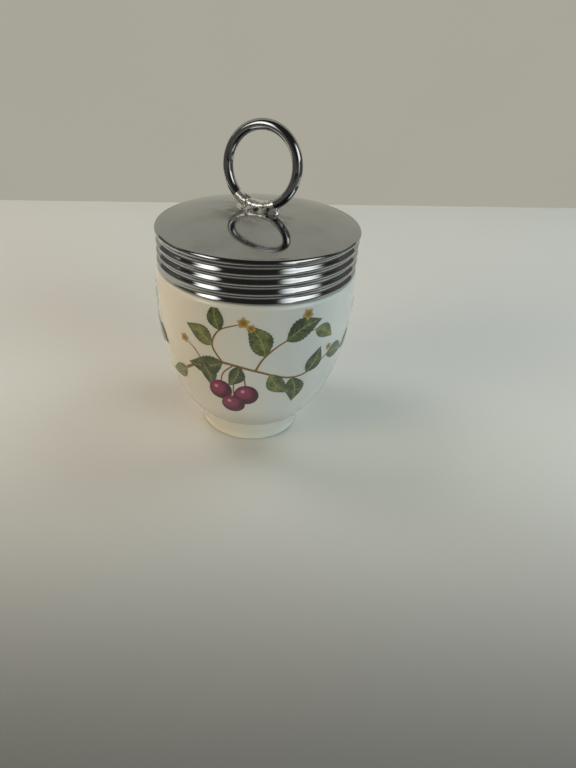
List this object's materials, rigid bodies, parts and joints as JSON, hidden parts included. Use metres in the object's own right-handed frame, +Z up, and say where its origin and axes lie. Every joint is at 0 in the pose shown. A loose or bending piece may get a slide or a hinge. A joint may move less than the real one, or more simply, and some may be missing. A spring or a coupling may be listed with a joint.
{
  "type": "egg coddler",
  "caption": "Footed porcelain cup with a screw-on domed metal cap, a finger ring soldered on top and a flat sealing washer inside, for cooking an egg in hot water.",
  "frame": {"origin": "centre of the circle that the foot stands on", "axes": "+Z up along the cup's axis; +X along the wire of the finger ring; -Y out of the ring's open face, towards the pictured front"},
  "size_m": [0.0582, 0.0582, 0.0923],
  "materials": {
    "porcelain": "clear gloss glaze over warm white porcelain",
    "seal_rubber": "smooth pale food-grade rubber",
    "cap_chrome": "bright plate with light wear",
    "ring_chrome": "bright plate",
    "solder": "plated over a lumpy solder fillet"
  },
  "bodies": {
    "cup": {"porcelain_cup": "porcelain"},
    "seal": {"sealing_washer": "seal_rubber"},
    "cap": {"cap_shell": "cap_chrome", "finger_ring": "ring_chrome", "ring_solder": "solder"}
  },
  "joints": [
    {"name": "cap_lift", "type": "slide", "parent": "cup", "child": "seal", "axis": [0, 0, 1], "range_m": [0, 0.01305]},
    {"name": "cap_turn", "type": "hinge", "parent": "seal", "child": "cap", "pos_m": [0, 0, 0.06], "axis": [0, 0, 1], "range_deg": [0, 1800]}
  ],
  "couplings": [
    {"joint": "cap_lift", "follows": "cap_turn", "m_per_rad": 0.00041539}
  ]
}
